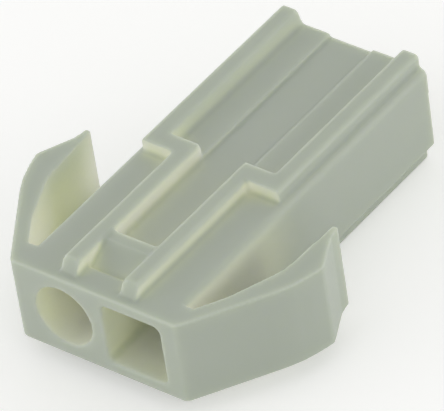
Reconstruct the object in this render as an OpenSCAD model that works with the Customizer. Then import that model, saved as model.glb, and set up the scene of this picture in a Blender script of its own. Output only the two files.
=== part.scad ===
// Two-way panel-mount connector housing, moulded in one piece.
//
// The housing is worked out about its mating face: x runs across the two ways,
// y runs back from the mating face to the wire end, and z is measured from the
// middle of the body's height. The last module stands it on its base rails,
// with the origin under the middle of its length and width.

/* [Ways] */
// Distance between the two contact centre lines
pitch = 4.5; // [4.2:0.1:5.5]
// Diameter of the round mating well
round_well_d = 3.6; // [3:0.1:3.9]
// Side of the square mating well
square_well_side = 3.76; // [3.2:0.02:4]
// Radius of the square well's corners
square_well_r = 0.35; // [0.1:0.05:0.8]
// Depth of both wells from the mating face
well_depth = 8; // [5:0.5:10]
// Diameter of the throat that each contact stops in
throat_d = 2.6; // [1.8:0.1:2.9]
// Thickness of the wall between a well and its wire entry
stop_wall = 1.8; // [1:0.1:3]
// Diameter of the wire entries
entry_d = 3.5; // [3:0.1:3.9]
// Width and depth of the lead-in at each wire entry
entry_lead = 0.3; // [0.1:0.05:0.4]

/* [Body] */
// Length from the mating face to the wire end
body_len = 22.5; // [18:0.5:30]
// Wall between the square well and the body's side
side_wall = 0.71; // [0.5:0.01:1.2]
// Wall above and below the square well
roof_wall = 0.72; // [0.5:0.01:1.2]
// Draft of each side: how much nearer the middle it is at the base than at the roof
side_draft = 0.13; // [0:0.01:0.2]
// Radius along the roof's two long edges
roof_r = 0.4; // [0.1:0.05:0.6]
// Radius along the base's two long edges
base_r = 0.15; // [0.1:0.05:0.4]

/* [Rails] */
// Distance from the mating face to the rails, which stop the panel
nose_len = 10.15; // [9:0.05:14]
// Height of the roof's rails and guide ribs
rail_h = 0.82; // [0.6:0.01:1.5]
// Height of the base's rails
base_rail_h = 1.13; // [0.6:0.01:1.5]
// Width of the ledge outside each of the roof's rails
ledge_w = 0.42; // [0.2:0.02:0.6]
// Width of the ledge outside each of the base's rails
base_ledge_w = 0.55; // [0.2:0.05:0.7]
// Width of a rail at its foot
rail_foot_w = 1.3; // [1.2:0.05:1.6]
// Width of a rail at its top
rail_top_w = 1.02; // [0.5:0.02:1.1]
// Thickness of the cross wall that ties each guide rib to its rail
tie_wall = 1.1; // [0.6:0.1:2]

/* [Lock channel] */
// Clear width of the channel between the guide ribs
channel_w = 2.8; // [2.2:0.05:3.2]
// Depth that the channel is sunk into the roof
channel_sink = 0.2; // [0.05:0.01:0.25]
// Width of a guide rib
rib_w = 1; // [0.6:0.05:1.2]
// Distance from the mating face to the front of the ribs
rib_setback = 0.5; // [0.3:0.05:1.5]
// Distance that each rib's front slopes back over its height
rib_slope = 0.5; // [0.1:0.05:0.8]
// Distance from the front of the ribs to the foot of the catch's ramp
catch_setback = 1.3; // [0.2:0.1:2]
// Length of the catch's ramp
catch_ramp = 1.35; // [0.8:0.05:3]
// Length of the catch's flat crest
catch_crest = 0.7; // [0.3:0.05:1]
// Distance from the tops of the ribs down to the crest
catch_drop = 0.15; // [0.13:0.01:0.4]

/* [Panel locks] */
// Lip of the mating face beyond each side of the body
face_lip = 0.43; // [0.35:0.01:0.8]
// Radius of the mating face's upright edges
face_r = 0.45; // [0.1:0.05:0.8]
// Depth of the face plate that the arms spring from
plate_depth = 1.55; // [1.2:0.05:2.5]
// Reach of each arm beyond the mating face at its crown
arm_reach = 3.98; // [3.4:0.02:4.6]
// Distance from the panel stop forward to the arm's crown
crown_lead = 2.85; // [2.2:0.05:3.5]
// Length of the arm's shoulder in front of its crown
shoulder_len = 1.9; // [1:0.1:2.5]
// Distance that the shoulder spreads over its length
shoulder_rise = 0.51; // [0.2:0.01:0.8]
// Thickness of an arm at its shoulder
arm_wall = 1.4; // [1:0.05:1.6]
// Thickness of an arm along its neck
neck_wall = 0.85; // [0.6:0.05:1]
// Length of the arm's neck along its ramp
neck_len = 3.2; // [2.4:0.1:4]
// Distance that the arm's tip lies inside its crown
tip_inset = 1.16; // [0.8:0.02:1.6]
// Thickness of an arm at its tip
tip_w = 0.3; // [0.2:0.05:0.5]
// Length of the blunt tip behind the slanted end
tip_len = 0.85; // [0.4:0.05:1.2]
// Taper of the blunt tip over its length
tip_taper = 0.17; // [0.05:0.01:0.3]

/* [Hidden] */

// Radii of the arm's long blends: shoulder, inner knee and neck
SHOULDER_R = 8;
KNEE_R = 3;
NECK_R = 4;
// Radii of its small rounds: crown, end, tip and root
CROWN_R = 0.6;
END_R = 0.3;
TIP_R = 0.12;
ROOT_R = 0.25;
// Radius of the rails' and ribs' long edges
EDGE_R = 0.2;
// Longest turn between two points of a round, in degrees
ARC_STEP = 9;
// Run of one solid into the next, and of a cut out of the body
LAP = 0.1;
$fn = 96;

body_w = pitch + square_well_side + 2 * side_wall;
body_h = square_well_side + 2 * roof_wall;
way_x = pitch / 2;
roof_z = body_h / 2;
crest_z = roof_z + rail_h;
channel_z = roof_z - channel_sink;
rail_x = body_w / 2 - ledge_w;
base_x = body_w / 2 - side_draft;
base_rail_x = base_x - base_ledge_w;
rib_x = channel_w / 2;
face_x = body_w / 2 + face_lip;

function unit(v) = v / norm(v);
function cross_z(a, b) = a[0] * b[1] - a[1] * b[0];
function turned(v, angle) = [
    v[0] * cos(angle) - v[1] * sin(angle),
    v[0] * sin(angle) + v[1] * cos(angle)
];

// Points of the round that replaces corner b between a and c. Its tangent
// points stay within half of each side, so a round never outgrows its wall.
function round_points(a, b, c, radius) =
    let (to_a = unit(a - b), to_c = unit(c - b), half = acos(to_a * to_c) / 2)
    let (reach = min(radius / tan(half), norm(a - b) / 2, norm(c - b) / 2))
    let (r = reach * tan(half), centre = b + unit(to_a + to_c) * r / sin(half))
    let (start = b + to_a * reach - centre, end = b + to_c * reach - centre)
    let (turn = atan2(cross_z(start, end), start * end))
    let (steps = max(2, ceil(abs(turn) / ARC_STEP)))
    [for (i = [0 : steps]) centre + turned(start, turn * i / steps)];

// An outline of [x, y, radius] corners as plain points, a radius of 0 is sharp
function outline(corners) =
    let (n = len(corners), p = [for (c = corners) [c[0], c[1]]])
    [for (i = [0 : n - 1]) each corners[i][2] == 0
        ? [p[i]]
        : round_points(p[(i + n - 1) % n], p[i], p[(i + 1) % n], corners[i][2])];

function mirrored(corners) =
    [for (i = [len(corners) - 1 : -1 : 0]) [-corners[i][0], corners[i][1], corners[i][2]]];

// A cross-section in x and z, drawn as x and y, carried along y from y0 to y1
module along_y(y0, y1) {
    translate([0, y1, 0])
        rotate([90, 0, 0])
            linear_extrude(y1 - y0)
                children();
}

// A cylinder along y on the centre line of one way
module way_bore(x, d, y0, y1) {
    translate([x, y1, 0])
        rotate([90, 0, 0])
            cylinder(d = d, h = y1 - y0);
}

// Face plate and both panel-lock arms, in plan
module lock_plan() {
    face_edge = [face_x, 0];
    crown = [face_x + arm_reach, nose_len - crown_lead];
    shoulder = crown - [shoulder_rise, shoulder_len];
    along = unit(shoulder - face_edge);
    inward = [-along[1], along[0]];
    tip = [crown[0] - tip_inset, nose_len];
    end = tip + [tip_taper, -tip_len];
    knee = shoulder + inward * arm_wall;
    neck = face_edge + along * neck_len + inward * neck_wall;
    right_side = [
        [face_edge[0], face_edge[1], face_r],
        [shoulder[0], shoulder[1], SHOULDER_R],
        [crown[0], crown[1], CROWN_R],
        [end[0], end[1], END_R],
        [tip[0], tip[1], TIP_R],
        [tip[0] - tip_w, tip[1], TIP_R],
        [knee[0], knee[1], KNEE_R],
        [neck[0], neck[1], NECK_R],
        [face_x, plate_depth, ROOT_R]
    ];
    polygon(outline(concat(right_side, mirrored(right_side))));
}

module lock_arms() {
    translate([0, 0, -roof_z])
        linear_extrude(body_h)
            lock_plan();
}

module body_section() {
    right_side = [
        [base_x, -roof_z, base_r],
        [body_w / 2, roof_z, roof_r]
    ];
    polygon(outline(concat(right_side, mirrored(right_side))));
}

// A rail of a given height with an upright outer flank at x, its foot let into the body
module rail_section(x, height) {
    top_z = roof_z + height;
    polygon(outline([
        [x, roof_z - LAP, 0],
        [x, top_z, EDGE_R],
        [x - rail_top_w, top_z, EDGE_R],
        [x - rail_foot_w, roof_z, 0],
        [x - rail_foot_w, roof_z - LAP, 0]
    ]));
}

module rib_section() {
    polygon(outline([
        [rib_x, roof_z - LAP, 0],
        [rib_x + rib_w, roof_z - LAP, 0],
        [rib_x + rib_w, crest_z, EDGE_R],
        [rib_x, crest_z, EDGE_R]
    ]));
}

// A guide rib, its front sloped so that the latch finds the channel
module rib() {
    difference() {
        along_y(rib_setback, nose_len + tie_wall)
            rib_section();
        translate([rib_x - LAP, 0, 0])
            rotate([90, 0, 90])
                linear_extrude(rib_w + 2 * LAP)
                    polygon([
                        [rib_setback, roof_z],
                        [rib_setback + rib_slope, crest_z],
                        [rib_setback + rib_slope, crest_z + LAP],
                        [rib_setback - LAP, crest_z + LAP],
                        [rib_setback - LAP, roof_z]
                    ]);
    }
}

// Ties the guide rib to its rail behind the panel
module cross_wall() {
    inner_x = rib_x + rib_w / 2;
    outer_x = rail_x - rail_top_w / 2;
    translate([inner_x, nose_len, roof_z - LAP])
        cube([outer_x - inner_x, tie_wall, rail_h + LAP]);
}

// Everything that stands on the roof to one side of the channel
module roof_side() {
    along_y(nose_len, body_len)
        rail_section(rail_x, rail_h);
    rib();
    cross_wall();
}

module channel() {
    depth = channel_sink + LAP;
    translate([-rib_x, rib_setback, channel_z])
        cube([channel_w, body_len, depth]);
}

// The catch that a mating latch rides up and drops behind, from rib to rib
module catch() {
    foot_y = rib_setback + catch_setback;
    top_y = foot_y + catch_ramp;
    back_y = top_y + catch_crest;
    top_z = crest_z - catch_drop;
    translate([-rib_x - LAP, 0, 0])
        rotate([90, 0, 90])
            linear_extrude(channel_w + 2 * LAP)
                polygon([
                    [foot_y, channel_z - LAP],
                    [back_y, channel_z - LAP],
                    [back_y, top_z],
                    [top_y, top_z],
                    [foot_y, channel_z]
                ]);
}

module square_well() {
    half = square_well_side / 2;
    along_y(-LAP, well_depth)
        translate([way_x, 0])
            polygon(outline([
                [-half, -half, square_well_r],
                [half, -half, square_well_r],
                [half, half, square_well_r],
                [-half, half, square_well_r]
            ]));
}

// Throat, wire entry and its lead-in, behind the well of one way
module wire_way(x) {
    throat_end = well_depth + stop_wall;
    way_bore(x, throat_d, well_depth - LAP, throat_end + LAP);
    way_bore(x, entry_d, throat_end, body_len + LAP);
    translate([x, body_len + LAP, 0])
        rotate([90, 0, 0])
            cylinder(r1 = entry_d / 2 + entry_lead + LAP, r2 = entry_d / 2, h = entry_lead + LAP);
}

module moulding() {
    difference() {
        union() {
            lock_arms();
            difference() {
                along_y(LAP, body_len)
                    body_section();
                channel();
            }
        }
        way_bore(-way_x, round_well_d, -LAP, well_depth);
        square_well();
        for (side = [-1, 1])
            wire_way(side * way_x);
    }
    catch();
    for (side = [0, 1])
        mirror([side, 0, 0]) {
            roof_side();
            mirror([0, 0, 1])
                along_y(nose_len, body_len)
                    rail_section(base_rail_x, base_rail_h);
        }
}

module housing() {
    color("#E6E8D8")
        translate([0, -body_len / 2, roof_z + base_rail_h])
            moulding();
}

housing();
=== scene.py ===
"""Looks of a two-way panel-mount connector housing: rounded moulding, nylon and a plain stage."""

import math

import bmesh
import bpy
import numpy as np
from mathutils import Matrix, Vector


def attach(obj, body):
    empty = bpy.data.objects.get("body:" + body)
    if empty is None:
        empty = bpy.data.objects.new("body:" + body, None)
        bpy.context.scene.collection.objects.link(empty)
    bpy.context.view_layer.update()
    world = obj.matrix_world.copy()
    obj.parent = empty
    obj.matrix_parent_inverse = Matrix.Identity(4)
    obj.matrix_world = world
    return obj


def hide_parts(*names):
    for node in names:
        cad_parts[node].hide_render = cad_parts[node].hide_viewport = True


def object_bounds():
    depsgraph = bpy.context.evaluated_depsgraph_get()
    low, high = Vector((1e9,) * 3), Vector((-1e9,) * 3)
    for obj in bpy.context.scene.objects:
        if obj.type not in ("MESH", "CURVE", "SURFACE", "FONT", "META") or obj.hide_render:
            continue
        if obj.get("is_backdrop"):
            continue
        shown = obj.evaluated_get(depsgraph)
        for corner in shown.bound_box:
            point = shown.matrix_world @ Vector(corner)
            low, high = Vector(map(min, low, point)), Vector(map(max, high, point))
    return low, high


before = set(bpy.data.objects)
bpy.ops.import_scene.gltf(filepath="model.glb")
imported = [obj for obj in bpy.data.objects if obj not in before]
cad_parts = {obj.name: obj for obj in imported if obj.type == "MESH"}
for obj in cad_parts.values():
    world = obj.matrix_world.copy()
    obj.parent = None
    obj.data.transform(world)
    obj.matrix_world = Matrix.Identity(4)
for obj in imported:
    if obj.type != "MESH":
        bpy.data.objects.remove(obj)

bl_info = {
    "name": "Connector housing looks",
    "version": (1, 0, 0),
    "blender": (4, 5, 0),
    "location": "3D View > Sidebar > Housing",
    "description": "Rounds the moulded housing, gives it its nylon and sets a plain stage",
    "category": "Object",
}

MM = 0.001
NODE = "housing"
# Nylon: width of its flow clouds, width and rise of the mould's grain, roughness over the grain
CLOUD_SIZE = 4 * MM
GRAIN_SIZE = 0.12 * MM
GRAIN_RISE = 0.01 * MM
SATIN = (0.42, 0.54)
# Share of the directions round a point that are open: a full hollow, and an open face. Between them the
# painted glow of the hollows fades out
HOLLOW_OPEN = 0.3
FACE_OPEN = 0.85
CAD_LOW, CAD_HIGH = (np.array(corner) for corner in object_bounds())
MIDDLE = (CAD_LOW + CAD_HIGH) / 2


# ---------------------------------------------------------------- small helpers


def linear(hex_colour, alpha=1.0):
    """sRGB hex such as "#C8CBB9" to the linear RGBA that shaders work in."""
    parts = [int(hex_colour[i : i + 2], 16) / 255 for i in (1, 3, 5)]
    lit = [c / 12.92 if c <= 0.04045 else ((c + 0.055) / 1.055) ** 2.4 for c in parts]
    return (*lit, alpha)


def add_node(tree, kind, settings=None, values=None, links=None):
    """Adds one node: settings are its properties, values its unlinked inputs, links its linked ones."""
    node = tree.nodes.new(kind)
    for key, value in (settings or {}).items():
        setattr(node, key, value)
    for key, value in (values or {}).items():
        node.inputs[key].default_value = value
    for key, socket in (links or {}).items():
        tree.links.new(socket, node.inputs[key])
    return node


def new_material(name):
    """An empty node material and its tree."""
    material = bpy.data.materials.new(name)
    material.use_nodes = True
    material.node_tree.nodes.clear()
    return material, material.node_tree


# ---------------------------------------------------------------- nylon


def nylon_66_natural_moulded(look):
    """Nylon 66, natural, injection moulded: a milky, faintly green-grey plastic with a satin skin.

    Light enters it and comes out about a millimetre away, so edges look soft. Round a hollow
    the walls are thin and light comes through them from outside. That glow is painted into the
    base colour, which is painted brighter and yellower the more closed in a point is, and there
    the light also spreads further inside the plastic.
    """
    material, tree = new_material("nylon_66_natural_moulded")
    place = add_node(tree, "ShaderNodeTexCoord").outputs["Object"]

    # Hollows: how closed in a point is, within about a well's width. This mask sets the painted glow of
    # the hollows and the further spread of light there
    near = add_node(
        tree,
        "ShaderNodeAmbientOcclusion",
        {"samples": 12, "only_local": True},
        {"Distance": look.hollow_reach},
    )
    hollow = add_node(
        tree,
        "ShaderNodeMapRange",
        values={"From Min": HOLLOW_OPEN, "From Max": FACE_OPEN, "To Min": 1.0, "To Max": 0.0},
        links={"Value": near.outputs["AO"]},
    )
    # Flow clouding: slow changes of tone where the melt ran
    cloud = add_node(
        tree,
        "ShaderNodeTexNoise",
        values={"Scale": 1 / CLOUD_SIZE, "Detail": 2.0, "Roughness": 0.45},
        links={"Vector": place},
    )
    tone = add_node(
        tree,
        "ShaderNodeMix",
        {"data_type": "RGBA"},
        {"A": linear(look.skin_colour), "B": linear(look.cloud_colour)},
        {"Factor": cloud.outputs["Fac"]},
    )
    # Painted glow: the hollows are painted brighter and yellower, standing in for light that comes
    # through their thin walls
    colour = add_node(
        tree,
        "ShaderNodeMix",
        {"data_type": "RGBA"},
        {"B": linear(look.painted_hollow_glow_colour)},
        {"Factor": hollow.outputs["Result"], "A": tone.outputs["Result"]},
    )
    depth = add_node(
        tree,
        "ShaderNodeMapRange",
        values={"To Min": look.glow_depth, "To Max": look.hollow_glow_depth},
        links={"Value": hollow.outputs["Result"]},
    )
    # Mould texture: a spark-eroded cavity leaves a fine grain, hardly raised
    grain = add_node(
        tree,
        "ShaderNodeTexNoise",
        values={"Scale": 1 / GRAIN_SIZE, "Detail": 3.0, "Roughness": 0.6},
        links={"Vector": place},
    )
    satin = add_node(
        tree,
        "ShaderNodeMapRange",
        values={"From Min": 0.3, "From Max": 0.7, "To Min": SATIN[0], "To Max": SATIN[1]},
        links={"Value": grain.outputs["Fac"]},
    )
    bump = add_node(
        tree,
        "ShaderNodeBump",
        values={"Strength": 0.25, "Distance": GRAIN_RISE},
        links={"Height": grain.outputs["Fac"]},
    )
    shader = add_node(
        tree,
        "ShaderNodeBsdfPrincipled",
        values={
            "IOR": 1.53,
            "Specular IOR Level": 0.4,
            "Subsurface Weight": look.glow_weight,
            "Subsurface Radius": (1.0, 1.0, 0.75),
        },
        links={
            "Subsurface Scale": depth.outputs["Result"],
            "Base Color": colour.outputs["Result"],
            "Roughness": satin.outputs["Result"],
            "Normal": bump.outputs["Normal"],
        },
    )
    add_node(
        tree,
        "ShaderNodeOutputMaterial",
        links={"Surface": shader.outputs["BSDF"]},
    )
    return material


# ---------------------------------------------------------------- moulding


def merged_copy(node_name, reach):
    """A copy of a CAD node's mesh with its loose triangles joined."""
    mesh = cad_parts[node_name].data.copy()
    mesh.name = node_name + "_moulding"
    mesh.materials.clear()
    work = bmesh.new()
    work.from_mesh(mesh)
    bmesh.ops.remove_doubles(work, verts=work.verts, dist=reach)
    bmesh.ops.recalc_face_normals(work, faces=work.faces)
    work.to_mesh(mesh)
    work.free()
    return mesh


def rounded_moulding(settings):
    """The housing as moulded: the CAD solid with all its edges and corners softly rounded.

    A skin of fine cells is laid over the solid and smoothed, which rounds every edge by the
    same small radius and leaves the flats flat. The flats' cells are then joined into larger
    faces, and the normals follow the larger faces, so that the flats also shade flat.
    """
    mesh = merged_copy(NODE, settings.merge_reach)
    piece = bpy.data.objects.new("moulded_housing", mesh)
    bpy.context.scene.collection.objects.link(piece)
    skin = piece.modifiers.new("skin", "REMESH")
    skin.mode = "VOXEL"
    skin.voxel_size = settings.cell
    skin.use_smooth_shade = True
    rounds = piece.modifiers.new("rounds", "SMOOTH")
    rounds.iterations = settings.round_passes
    fewer = piece.modifiers.new("fewer_faces", "DECIMATE")
    fewer.ratio = settings.kept_share
    flats = piece.modifiers.new("flat_flats", "WEIGHTED_NORMAL")
    flats.mode = "FACE_AREA"
    flats.weight = 90
    return piece


# ---------------------------------------------------------------- stage


def seen_rays(tree):
    """1 on the rays that show a background: the camera's, mirrored ones and refracted ones."""
    path = add_node(tree, "ShaderNodeLightPath")
    onward = add_node(
        tree,
        "ShaderNodeMath",
        {"operation": "MAXIMUM"},
        links={0: path.outputs["Is Glossy Ray"], 1: path.outputs["Is Transmission Ray"]},
    )
    seen = add_node(
        tree,
        "ShaderNodeMath",
        {"operation": "MAXIMUM"},
        links={0: path.outputs["Is Camera Ray"], 1: onward.outputs["Value"]},
    )
    return seen.outputs["Value"]


def white_floor(stage):
    """A pale matt floor that reads as white paper and still shows the housing's shadow.

    Only the rays that show a background see the little light that lifts it to white.
    """
    material, tree = new_material("matt_white_paper")
    paper = add_node(
        tree,
        "ShaderNodeBsdfDiffuse",
        values={"Color": linear(stage.floor_colour), "Roughness": 0.5},
    )
    light = add_node(
        tree,
        "ShaderNodeEmission",
        values={"Color": (1, 1, 1, 1), "Strength": stage.floor_lift},
    )
    both = tree.nodes.new("ShaderNodeAddShader")
    tree.links.new(paper.outputs["BSDF"], both.inputs[0])
    tree.links.new(light.outputs["Emission"], both.inputs[1])
    mix = add_node(tree, "ShaderNodeMixShader", links={"Fac": seen_rays(tree)})
    tree.links.new(paper.outputs["BSDF"], mix.inputs[1])
    tree.links.new(both.outputs["Shader"], mix.inputs[2])
    add_node(tree, "ShaderNodeOutputMaterial", links={"Surface": mix.outputs["Shader"]})
    return material


def tent_world(stage):
    """A light tent: its walls glow more than its roof, and as a background it is white."""
    world = bpy.data.worlds.new("light_tent")
    world.use_nodes = True
    tree = world.node_tree
    tree.nodes.clear()
    way = add_node(tree, "ShaderNodeTexCoord").outputs["Generated"]
    height = add_node(tree, "ShaderNodeSeparateXYZ", links={"Vector": way})
    glow = add_node(
        tree,
        "ShaderNodeMapRange",
        values={"To Min": stage.wall_glow, "To Max": stage.roof_glow},
        links={"Value": height.outputs["Z"]},
    )
    tent = add_node(
        tree,
        "ShaderNodeBackground",
        values={"Color": (1, 1, 1, 1)},
        links={"Strength": glow.outputs["Result"]},
    )
    white = add_node(
        tree, "ShaderNodeBackground", values={"Color": (1, 1, 1, 1), "Strength": 1.0}
    )
    mix = add_node(tree, "ShaderNodeMixShader", links={"Fac": seen_rays(tree)})
    tree.links.new(tent.outputs["Background"], mix.inputs[1])
    tree.links.new(white.outputs["Background"], mix.inputs[2])
    add_node(tree, "ShaderNodeOutputWorld", links={"Surface": mix.outputs["Shader"]})
    return world


def softbox(name, azimuth, stage):
    """A square softbox low beside the housing, in the direction of an azimuth, facing it."""
    e = stage.box_elevation
    out = Vector((math.sin(azimuth) * math.cos(e), -math.cos(azimuth) * math.cos(e), math.sin(e)))
    data = bpy.data.lights.new(name, "AREA")
    data.shape = "SQUARE"
    data.size = stage.box_size
    data.energy = stage.box_power
    lamp = bpy.data.objects.new(name, data)
    lamp.location = out * stage.box_distance
    lamp.rotation_euler = (-out).to_track_quat("-Z", "Y").to_euler()
    bpy.context.scene.collection.objects.link(lamp)
    return lamp


# ---------------------------------------------------------------- settings


class MouldingSettings(bpy.types.PropertyGroup):
    """Sizes of the rounded moulding, the colours of its nylon and the painted glow of its hollows."""

    cell: bpy.props.FloatProperty(
        name="Cell",
        description="Side of the cells of the rounded skin",
        default=0.1 * MM,
        unit="LENGTH",
    )
    round_passes: bpy.props.IntProperty(
        name="Round passes",
        description="How often the skin is smoothed: more passes give larger rounds",
        default=4,
        min=0,
    )
    kept_share: bpy.props.FloatProperty(
        name="Kept share",
        description="Share of the skin's faces that stays",
        default=0.4,
        min=0.05,
        max=1.0,
    )
    merge_reach: bpy.props.FloatProperty(
        name="Merge reach",
        description="Corners nearer than this are one",
        default=0.002 * MM,
        unit="LENGTH",
    )
    skin_colour: bpy.props.StringProperty(
        name="Skin colour", description="Nylon on open faces", default="#B9C0B4"
    )
    cloud_colour: bpy.props.StringProperty(
        name="Cloud colour", description="Nylon where the melt clouded", default="#B6BEB0"
    )
    # Painted glow: wells and corners are painted this brighter, yellower colour, standing in for light
    # that comes through their thin walls
    painted_hollow_glow_colour: bpy.props.StringProperty(
        name="Painted hollow glow colour", description="Nylon deep in wells and corners", default="#F5F8DA"
    )
    hollow_reach: bpy.props.FloatProperty(
        name="Hollow reach",
        description="Distance over which a wall makes a hollow",
        default=4.0 * MM,
        unit="LENGTH",
    )
    glow_weight: bpy.props.FloatProperty(
        name="Glow weight",
        description="Share of the light that passes through the plastic",
        default=1.0,
        min=0.0,
        max=1.0,
    )
    glow_depth: bpy.props.FloatProperty(
        name="Glow depth",
        description="How far light spreads inside the plastic",
        default=1.0 * MM,
        unit="LENGTH",
    )
    hollow_glow_depth: bpy.props.FloatProperty(
        name="Hollow glow depth",
        description="How far light spreads round a hollow, whose walls it passes through",
        default=6.0 * MM,
        unit="LENGTH",
    )


class StageSettings(bpy.types.PropertyGroup):
    """Floor, tent, softboxes and camera."""

    floor_colour: bpy.props.StringProperty(
        name="Floor colour", description="Paper that the housing stands on", default="#F2F2F0"
    )
    floor_size: bpy.props.FloatProperty(
        name="Floor size", description="Side of the paper", default=1.2, unit="LENGTH"
    )
    floor_lift: bpy.props.FloatProperty(
        name="Floor lift",
        description="Light that lifts the paper to white where it is seen",
        default=0.3,
        min=0.0,
    )
    wall_glow: bpy.props.FloatProperty(
        name="Wall glow", description="Strength of the tent's walls", default=1.0, min=0.0
    )
    roof_glow: bpy.props.FloatProperty(
        name="Roof glow", description="Strength of the tent's roof", default=0.6, min=0.0
    )
    box_power: bpy.props.FloatProperty(
        name="Box power", description="Power of each softbox in watts", default=0.46, min=0.0
    )
    box_size: bpy.props.FloatProperty(
        name="Box size", description="Side of a softbox", default=0.3, unit="LENGTH"
    )
    box_distance: bpy.props.FloatProperty(
        name="Box distance",
        description="From the housing to a softbox",
        default=0.5,
        unit="LENGTH",
    )
    box_elevation: bpy.props.FloatProperty(
        name="Box elevation",
        description="Height of the softboxes above the floor, as an angle",
        default=math.radians(6),
        unit="ROTATION",
    )
    azimuth: bpy.props.FloatProperty(
        name="Azimuth",
        description="Direction that the camera stands in, from the mating face to the right",
        default=math.radians(42.708),
        unit="ROTATION",
    )
    elevation: bpy.props.FloatProperty(
        name="Elevation",
        description="Height of the camera above the floor, as an angle",
        default=math.radians(40.122),
        unit="ROTATION",
    )
    roll: bpy.props.FloatProperty(
        name="Roll",
        description="Turn of the camera about its own axis",
        default=math.radians(9.291),
        unit="ROTATION",
    )
    distance: bpy.props.FloatProperty(
        name="Distance",
        description="From the camera to the point that it looks at",
        default=344.22 * MM,
        unit="LENGTH",
    )
    lens: bpy.props.FloatProperty(
        name="Lens", description="Focal length on a 36 mm sensor", default=542.57
    )
    aim: bpy.props.FloatVectorProperty(
        name="Aim",
        description="Point that the camera looks at, from the middle of the housing's base",
        default=(-0.269 * MM, -0.346 * MM, 3.699 * MM),
        unit="LENGTH",
    )


# ---------------------------------------------------------------- operators


class HOUSING_OT_moulding(bpy.types.Operator):
    """Round the housing's edges and give it its nylon"""

    bl_idname = "housing.moulding"
    bl_label = "Moulding"

    def execute(self, context):
        settings = context.scene.housing_moulding
        piece = rounded_moulding(settings)
        piece.data.materials.append(nylon_66_natural_moulded(settings))
        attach(piece, "root")
        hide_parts(NODE)
        return {"FINISHED"}


class HOUSING_OT_stage(bpy.types.Operator):
    """Lay the paper floor, light the tent and stand a softbox on each side of the camera"""

    bl_idname = "housing.stage"
    bl_label = "Stage"

    def execute(self, context):
        stage = context.scene.housing_stage
        half = stage.floor_size / 2
        corners = np.array([[-1, -1], [1, -1], [1, 1], [-1, 1]]) * half
        mesh = bpy.data.meshes.new("paper_floor")
        mesh.from_pydata([(x, y, CAD_LOW[2]) for x, y in corners], [], [(0, 1, 2, 3)])
        mesh.materials.append(white_floor(stage))
        floor = bpy.data.objects.new("paper_floor", mesh)
        context.scene.collection.objects.link(floor)
        floor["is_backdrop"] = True
        context.scene.world = tent_world(stage)
        softbox("softbox_left", stage.azimuth - math.pi / 2, stage)
        softbox("softbox_right", stage.azimuth + math.pi / 2, stage)
        context.scene.view_settings.view_transform = "Standard"
        return {"FINISHED"}


class HOUSING_OT_camera(bpy.types.Operator):
    """Stand the camera to the right of the mating face and above it"""

    bl_idname = "housing.camera"
    bl_label = "Camera"

    def execute(self, context):
        stage = context.scene.housing_stage
        a, e = stage.azimuth, stage.elevation
        back = Vector((math.sin(a) * math.cos(e), -math.cos(a) * math.cos(e), math.sin(e)))
        data = bpy.data.cameras.new("camera")
        data.sensor_width = 36
        data.lens = stage.lens
        data.clip_start = MM
        camera = bpy.data.objects.new("camera", data)
        camera.location = Vector(stage.aim) + back * stage.distance
        level = (-back).to_track_quat("-Z", "Y").to_matrix().to_4x4()
        turn = level @ Matrix.Rotation(-stage.roll, 4, "Z")
        camera.rotation_euler = turn.to_euler()
        context.scene.collection.objects.link(camera)
        context.scene.camera = camera
        return {"FINISHED"}


class HOUSING_PT_sidebar(bpy.types.Panel):
    """The steps that dress the housing"""

    bl_idname = "HOUSING_PT_sidebar"
    bl_label = "Housing"
    bl_space_type = "VIEW_3D"
    bl_region_type = "UI"
    bl_category = "Housing"

    def draw(self, context):
        for operator in OPERATORS:
            self.layout.operator(operator.bl_idname)


OPERATORS = (HOUSING_OT_moulding, HOUSING_OT_stage, HOUSING_OT_camera)
CLASSES = (MouldingSettings, StageSettings, *OPERATORS, HOUSING_PT_sidebar)


def register():
    for cls in CLASSES:
        bpy.utils.register_class(cls)
    bpy.types.Scene.housing_moulding = bpy.props.PointerProperty(type=MouldingSettings)
    bpy.types.Scene.housing_stage = bpy.props.PointerProperty(type=StageSettings)


def unregister():
    del bpy.types.Scene.housing_stage
    del bpy.types.Scene.housing_moulding
    for cls in reversed(CLASSES):
        bpy.utils.unregister_class(cls)


def main():
    register()
    bpy.ops.housing.moulding()
    bpy.ops.housing.stage()
    bpy.ops.housing.camera()


if __name__ == "__main__":
    main()
